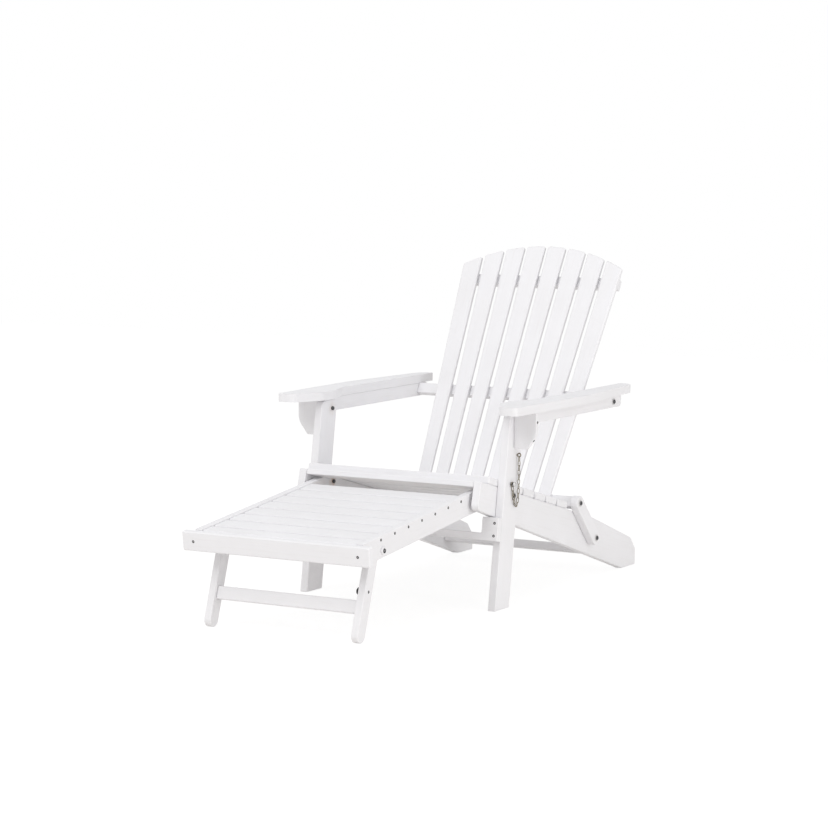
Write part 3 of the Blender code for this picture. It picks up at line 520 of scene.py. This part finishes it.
zinc = dull_metal("dark_zinc", zinc_light, zinc_dark, zinc_bright, roughness=0.42, seed=3)
pale_zinc = dull_metal(
    "pale_zinc", washer_light, washer_dark, washer_bright, roughness=0.50, seed=4)
pivot_bolts = (  # name, the body that carries it, and whether it has a nut
    ("leg_bolt", "legs", True), ("arm_bolt", "arms", True), ("back_bolt", "arms", False),
    ("link_bolt", "links", True), ("hinge_bolt", "back", False))
for kind, body, has_nut in pivot_bolts:
    for word, side in both_sides.items():
        node = kind + "_" + word
        low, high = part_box(node)
        middle = middle_of(node)
        start = Vector((side * min(abs(low[0]), abs(high[0])), middle.y, middle.z))
        profile = [(shank_radius * shank_tip, 0.0), (shank_radius, nut_ease)]
        if has_nut:
            profile += [
                (nut_flat * nut_round, nut_ease), (six_sided(nut_flat), 2 * nut_ease),
                (six_sided(nut_flat), nut_height - nut_ease), (nut_flat * nut_round, nut_height),
                (shank_radius, nut_height),
            ]
        seat = high[0] - low[0] - head_rise
        profile += [(shank_radius, seat)] + domed_head(seat)
        shape = bmesh.new()
        turn_on_lathe(shape, start, across * side, profile)
        under = seat - washer_thick
        turn_in_second(shape, start, across * side, [
            (shank_radius, under), (washer_radius - washer_ease, under),
            (washer_radius, under + washer_ease), (washer_radius, seat - washer_ease),
            (washer_radius - washer_ease, seat), (shank_radius, seat),
        ])
        bolt = finished_piece("pivot_" + node, shape, [zinc, pale_zinc], body)
        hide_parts(node)

# Footrest leg bolts and catch
# The legs turn on short domed bolts in the rails, over cup washers that are painted with the rails.
# A spring catch of dull zinc goes through the right leg, with its knob on the inner face.
cap_room = 0.0003
cap_radius = 0.0098
cap_rise = 0.0049
cap_ease = 0.0008
button_rise = 0.0022
rail_face = 0.2470
foot_leg_inner, foot_leg_outer = 0.2066, 0.2266
foot_leg_pivot = Vector((0.0, -0.6242, 0.2216))
catch_point = Vector((0.0, -0.6565, 0.1220))
catch_length = 0.0070
catch_tip_sink = 0.0010
catch_tip = (  # radius and height of its rounded end
    (0.0042, 0.0), (0.0042, 0.0009), (0.0042 * 0.8, 0.0011), (0.0010, 0.0012))
cup_paint = painted_wood("bolt_cup_paint", across, 77)
for word, side in both_sides.items():
    shape = bmesh.new()
    start = foot_leg_pivot + across * (side * (rail_face + cap_room))
    button = domed_head(cap_rise, head_radius, button_rise)
    button = [(head_radius, cap_rise - button_rise)] + button
    turn_on_lathe(shape, start, across * side, button)
    turn_in_second(shape, start, across * side, [
        (cap_radius, 0.0), (cap_radius, cap_rise - cap_ease), (cap_radius - cap_ease, cap_rise),
        (shank_radius, cap_rise),
    ])
    finished_piece("footrest_leg_bolt_" + word, shape, [zinc, cup_paint], "foot_legs")
shape = bmesh.new()
knob_start = catch_point + across * foot_leg_inner
knob = [(shank_radius + cap_room, 0.0), (shank_radius + cap_room, catch_length - cap_room)]
knob += domed_head(catch_length - cap_room, cap_radius, cap_rise + 2 * cap_room)
turn_on_lathe(shape, knob_start, -across, knob)
tip_start = catch_point + across * (foot_leg_outer - catch_tip_sink)
turn_on_lathe(shape, tip_start, across, catch_tip)
finished_piece("footrest_catch", shape, [zinc], "foot_legs")

# Wood screws
# Countersunk cross-recess screws of blackened steel hold the slats, the cross board, the brackets,
# the arms and the fascia. They are driven flush, so that only the heads show.
black_light = (0.085, 0.083, 0.082, 1.0)
black_dark = (0.030, 0.029, 0.029, 1.0)
black_bright = (0.240, 0.235, 0.225, 1.0)
screw_head = (  # radius and height of the turned head, from the neck to the edge of its dome
    (0.0020, -0.0030), (0.0036, -0.0001), (0.0036, 0.0002), (0.86 * 0.0036, 0.0006))
screw_recess = (  # reach and height of the recess, from its mouth to its foot
    (0.0025, 0.0008), (0.0021, 0.0002), (0.0012, -0.0014))
recess_web = 0.42


def cross_recess(size):
    """The reach of a four-armed recess at each angle."""
    return lambda angle: size * (recess_web + (1 - recess_web) * abs(math.cos(2 * angle)) ** 3)


def drive_screw(shape, point, outward):
    """Adds a screw's head to a mesh, with its rim at the point and its low dome outward."""
    recess = [(cross_recess(size), height) for size, height in screw_recess]
    turn_on_lathe(shape, point, outward, [*screw_head, *recess])


blackened = dull_metal(
    "blackened_steel", black_light, black_dark, black_bright, roughness=0.46, seed=9)
square_to_seat = Vector((0.0, math.sin(seat_slope), math.cos(seat_slope)))
stringer_middle = 0.2666
seat_slat_thick = 0.0200
seat_screw_steps = (-0.014, 0.014)
shape = bmesh.new()
for name in seat_slats:
    top = middle_of(name) + square_to_seat * (seat_slat_thick / 2)
    for side in both_sides.values():
        for step in seat_screw_steps:
            point = top + across * (side * stringer_middle) + down_the_seat * step
            drive_screw(shape, point, square_to_seat)
finished_piece("seat_screws", shape, [blackened], "seat")

shape = bmesh.new()
out_of_the_leg = Vector((0.0, -math.cos(leg_lean), math.sin(leg_lean)))
leg_middle = 0.2890
cross_board_thick = 0.0200
cross_screw_steps = (-0.017, 0.016)
front = middle_of("cross_board") + out_of_the_leg * (cross_board_thick / 2)
for side in both_sides.values():
    for step in cross_screw_steps:
        point = front + across * (side * leg_middle) + up_the_leg * step
        drive_screw(shape, point, out_of_the_leg)
bracket_screw_zs = (0.4389, 0.4877)
beyond_bracket = 0.0600
for word, side in both_sides.items():
    middle = middle_of("arm_bracket_" + word)
    for z in bracket_screw_zs:
        beside = Vector((side * (abs(middle.x) + beyond_bracket), middle.y, z))
        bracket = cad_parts["arm_bracket_" + word]
        point, outward = bracket.ray_cast(beside, across * -side)[1:3]
        drive_screw(shape, point, outward)
finished_piece("leg_screws", shape, [blackened], "legs")

shape = bmesh.new()
arm_rail_middle = 0.3114
arm_screw_ys = (0.060, 0.270, 0.490)
for word, side in both_sides.items():
    for y in arm_screw_ys:
        point = Vector((side * arm_rail_middle, y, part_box("arm_rail_" + word)[0][2]))
        drive_screw(shape, point, -upright)
finished_piece("arm_screws", shape, [blackened], "arms")

shape = bmesh.new()
slat_pitch = 0.0597
for name, up, lift in back_battens:
    rear = middle_of(name) + up_the_back * lift + behind_the_back * (batten_thick / 2)
    for i in range(back_slats):
        x = (i - (back_slats - 1) / 2) * (slat_pitch + slat_fan * up)
        drive_screw(shape, rear + across * x, behind_the_back)
finished_piece("back_screws", shape, [blackened], "back")

shape = bmesh.new()
fascia_screw_x = 0.2410
fascia_thick = 0.0200
for name in sorted(foot_slats, key=lambda name: middle_of(name).y)[1:]:  # the foremost has none
    for side in both_sides.values():
        end = middle_of(name)
        drive_screw(shape, Vector((side * rail_face, end.y, end.z)), across * side)
front = middle_of("footrest_fascia") - along_the_footrest * (fascia_thick / 2)
for side in both_sides.values():
    drive_screw(shape, front + across * (side * fascia_screw_x), -along_the_footrest)
finished_piece("footrest_screws", shape, [blackened], "footrest")

# Lock pin
# A turned pin of dark zinc goes through the right leg and keeps the chair open. It ends in a small
# round head of pale zinc, and a groove under that takes the chain's ring.
pin_chamfer = 0.0015
pin_head = 0.0050
pin_radius = 0.0040
pin_head_radius = 0.0062
pin_head_ease = 0.0006
pin_dish_share = 0.45
pin_dish_depth = 0.0003
groove_depth = 0.0006
groove_start, groove_end, groove_gap = 0.0022, 0.0016, 0.0001
low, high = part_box("lock_pin")
length = high[0] - low[0]
shoulder = length - pin_head
start = Vector((low[0], middle_of("lock_pin").y, middle_of("lock_pin").z))
shape = bmesh.new()
turn_on_lathe(shape, start, across, [
    (pin_radius - pin_chamfer, 0.0), (pin_radius, pin_chamfer),
    (pin_radius, shoulder - groove_start), (pin_radius - groove_depth, shoulder - groove_end),
    (pin_radius - groove_depth, shoulder - groove_gap),
])
turn_in_second(shape, start, across, [
    (pin_radius, shoulder), (pin_head_radius - pin_head_ease, shoulder),
    (pin_head_radius, shoulder + pin_head_ease), (pin_head_radius, length - pin_chamfer),
    (pin_head_radius - pin_head_ease, length - pin_head_ease),
    (pin_head_radius - pin_chamfer, length),
    (pin_dish_share * pin_head_radius, length - pin_dish_depth),
])
pin = finished_piece("locking_pin", shape, [zinc, pale_zinc], "pin")
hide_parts("lock_pin")

# Safety chain
# A light chain of bent wire links hangs from a screw eye in the right leg, and its last ring lies
# over the lock pin. Brassed steel wire, gone dark between the links.
brass_light = (0.360, 0.320, 0.250, 1.0)
brass_dark = (0.060, 0.050, 0.042, 1.0)
brass_bright = (0.720, 0.660, 0.520, 1.0)
leg_face = 0.3000
wire = 0.0010
link_room = 0.0036
link_bite = 0.0008
link_count = 16
link_bend_steps = 8
loop_steps = 28
wire_sides = 8
eye_place = (0.411, 0.052)
eye_radius = 0.0045
eye_wire = 0.0012
eye_loop_wire = 0.0018
eye_standoff = 0.0025
eye_shank = 0.0140
eye_taper = 0.0030
eye_point = 0.0003
pin_place = (0.334, 0.033)
ring_radius = 0.0062
ring_standoff = 0.00425
chain_low = 0.2640
chain_slant = 0.35
ring_fit = 0.0004
route_steps = 400


def on_the_leg(up, back):
    """A point of the leg's side, up from its foot and back from its front edge."""
    point = up_the_leg * up - out_of_the_leg * back
    return Vector((0.0, point.y - chair_middle_y, point.z))


def bent_wire(shape, middles, square, radius):
    """Adds a closed loop of round wire through the points to a mesh."""
    count = len(middles)
    rings = []
    for i, middle in enumerate(middles):
        run = (middles[(i + 1) % count] - middles[i - 1]).normalized()
        out = run.cross(square).normalized()
        ring = []
        for k in range(wire_sides):
            angle = 2 * math.pi * k / wire_sides
            step = out * math.cos(angle) + square * math.sin(angle)
            ring.append(shape.verts.new(middle + step * radius))
        rings.append(ring)
    for i in range(count):
        here, there = rings[i], rings[(i + 1) % count]
        for k in range(wire_sides):
            after = (k + 1) % wire_sides
            shape.faces.new((here[k], here[after], there[after], there[k]))


def round_loop(middle, first, second, radius):
    """Points of a circle that lies along two directions."""
    angles = (2 * math.pi * k / loop_steps for k in range(loop_steps))
    return [middle + (first * math.cos(a) + second * math.sin(a)) * radius for a in angles]


eye = on_the_leg(*eye_place) + across * (leg_face + eye_standoff + eye_radius)
ring = on_the_leg(*pin_place) + across * (leg_face + ring_standoff)
ring += upright * (pin_radius + ring_fit + wire - ring_radius)
start = eye - upright * (eye_radius - eye_wire + link_bite / 2)
end = ring - upright * (ring_radius - wire + link_bite / 2)
pull_start, pull_end = start.copy(), end.copy()
for pull in (pull_start, pull_end):  # so far down that the curve's middle hangs at chain_low
    pull.z = chain_low - (pull.z - chain_low) / 3
pull_end.y += (start.y - end.y) * chain_slant
route = interpolate_bezier(start, pull_start, pull_end, end, route_steps)
reach = [0.0]
for here, there in zip(route, route[1:]):
    reach.append(reach[-1] + (there - here).length)
pitch = reach[-1] / link_count
bend = link_room / 2 + wire
joints = [route[0]]
for i in range(1, link_count):
    k = next(j for j, far in enumerate(reach) if far >= pitch * i)
    share = (pitch * i - reach[k - 1]) / (reach[k] - reach[k - 1])
    joints.append(route[k - 1].lerp(route[k], share))
joints.append(route[-1])
shape = bmesh.new()
for i, (first, last) in enumerate(zip(joints, joints[1:])):
    middle = (first + last) / 2
    run = (last - first).normalized()
    straight = ((last - first).length - link_bite) / 2 + wire - bend
    level = run.cross(across).normalized()
    outward = run.cross(level).normalized()
    breadth, square = (outward, level) if i % 2 else (level, outward)
    points = []
    for way in (1, -1):
        for k in range(link_bend_steps + 1):
            angle = math.pi * k / link_bend_steps
            step = run * (straight + bend * math.sin(angle)) + breadth * (bend * math.cos(angle))
            points.append(middle + step * way)
    bent_wire(shape, points, square, wire)
bent_wire(shape, round_loop(ring, rearward, upright, ring_radius), across, wire)
bent_wire(shape, round_loop(eye, across, upright, eye_radius), rearward, eye_loop_wire)
turn_on_lathe(shape, eye - across * (eye_radius + eye_standoff + eye_shank), across, [
    (eye_point, 0.0), (eye_wire, eye_taper), (eye_wire, eye_shank + eye_standoff),
])
brass = dull_metal(
    "brassed_steel", brass_light, brass_dark, brass_bright, roughness=0.40, seed=15)
chain = finished_piece("hanging_chain", shape, [brass], "legs")
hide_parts("safety_chain")

# Floor and light
# A plain pale studio floor, seen as white, keeps a soft shadow. An even pale surround and two broad
# lamps, one low on the right and one high in front, light the chair at a plain level.
floor_reach = 7.0
floor_squares = 8
floor_drop = 0.0005
floor_tone = (0.95, 0.925, 0.895, 1.0)
shadow_tone = (0.22, 0.218, 0.215, 1.0)
floor_glow = 0.86
plain_white = (1.0, 1.0, 1.0, 1.0)
surround_strength = 0.66
backdrop_strength = 1.0
lamp_aim = Vector((0.0, 0.0, 0.40))
lamps = (  # name, size, power and place
    ("right_lamp", 2.4, 45.0, Vector((4.30, -0.60, 1.10))),
    ("front_lamp", 5.1, 174.0, Vector((-0.48, -4.40, 5.46))))


def seen_rays(tree):
    """One for rays that show the background: straight to the eye, mirrored or through glass."""
    path = add_node(tree, "LightPath")
    seen = reckoned(tree, "MAXIMUM", path.outputs["Is Camera Ray"], path.outputs["Is Glossy Ray"])
    return reckoned(tree, "MAXIMUM", seen, path.outputs["Is Transmission Ray"])


shape = bmesh.new()
bmesh.ops.create_grid(
    shape, x_segments=floor_squares, y_segments=floor_squares, size=floor_reach)
mesh = bpy.data.meshes.new("studio_floor")
shape.to_mesh(mesh)
shape.free()
material, tree, shader = fresh_material("studio_floor")
tree.nodes.remove(shader)
lit = add_node(tree, "BsdfDiffuse", {"Color": floor_tone}).outputs[0]
shadowed = add_node(tree, "BsdfDiffuse", {"Color": shadow_tone}).outputs[0]
glow = add_node(tree, "Emission", {"Strength": floor_glow}).outputs[0]
white = add_node(tree, "AddShader", {0: shadowed, 1: glow}).outputs[0]
shown = add_node(tree, "MixShader", {0: seen_rays(tree), 1: lit, 2: white}).outputs[0]
tree.links.new(shown, tree.nodes["Material Output"].inputs["Surface"])
mesh.materials.append(material)
floor = bpy.data.objects.new("studio_floor", mesh)
floor.location = (0.0, 0.0, -floor_drop)
bpy.context.scene.collection.objects.link(floor)

world = bpy.data.worlds.new("studio")
bpy.context.scene.world = world
world.use_nodes = True
tree = world.node_tree
surround = tree.nodes["Background"]
surround.inputs["Color"].default_value = plain_white
surround.inputs["Strength"].default_value = surround_strength
inputs = {"Color": plain_white, "Strength": backdrop_strength}
backdrop = add_node(tree, "Background", inputs).outputs[0]
inputs = {0: seen_rays(tree), 1: surround.outputs[0], 2: backdrop}
shown = add_node(tree, "MixShader", inputs).outputs[0]
tree.links.new(shown, tree.nodes["World Output"].inputs["Surface"])

for name, size, power, spot in lamps:
    light = bpy.data.lights.new(name, "AREA")
    light.size = size
    light.energy = power
    lamp = bpy.data.objects.new(name, light)
    lamp.location = spot
    lamp.rotation_euler = (lamp_aim - spot).to_track_quat("-Z", "Y").to_euler()
    bpy.context.scene.collection.objects.link(lamp)

bpy.context.scene.view_settings.view_transform = "Standard"
